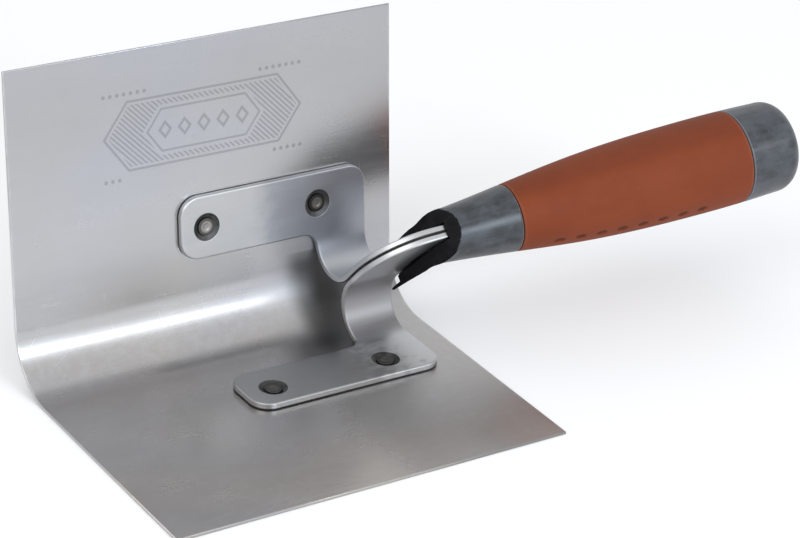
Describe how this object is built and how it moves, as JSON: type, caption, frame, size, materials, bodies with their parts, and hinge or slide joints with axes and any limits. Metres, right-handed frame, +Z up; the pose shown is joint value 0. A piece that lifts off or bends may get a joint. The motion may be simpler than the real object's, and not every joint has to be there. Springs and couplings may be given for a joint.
{
  "type": "inside corner trowel",
  "caption": "Inside corner trowel: a spring-steel blade bent to a rounded corner, riveted brackets curling back to a straight tapered handle.",
  "frame": {"origin": "on the ground below the centre of the whole tool, which lies on its lower wing", "axes": "+X along the fold towards the handle, +Y towards the upper wing, +Z up"},
  "size_m": [0.2426, 0.1058, 0.0931],
  "materials": {
    "blade": "fine ground stainless spring steel",
    "bracket": "polished steel plate",
    "rivet": "plain steel, darkened in the countersinks",
    "core": "satin moulded plastic",
    "sleeve": "matte soft grip"
  },
  "bodies": {
    "root": {"blade": "blade", "bracket_lower": "bracket", "bracket_upper": "bracket", "rivet_lower_1": "rivet", "rivet_lower_2": "rivet", "rivet_upper_1": "rivet", "rivet_upper_2": "rivet", "handle_core": "core", "grip_sleeve": "sleeve", "end_cap": "core", "tang_pin": "rivet"}
  },
  "joints": []
}
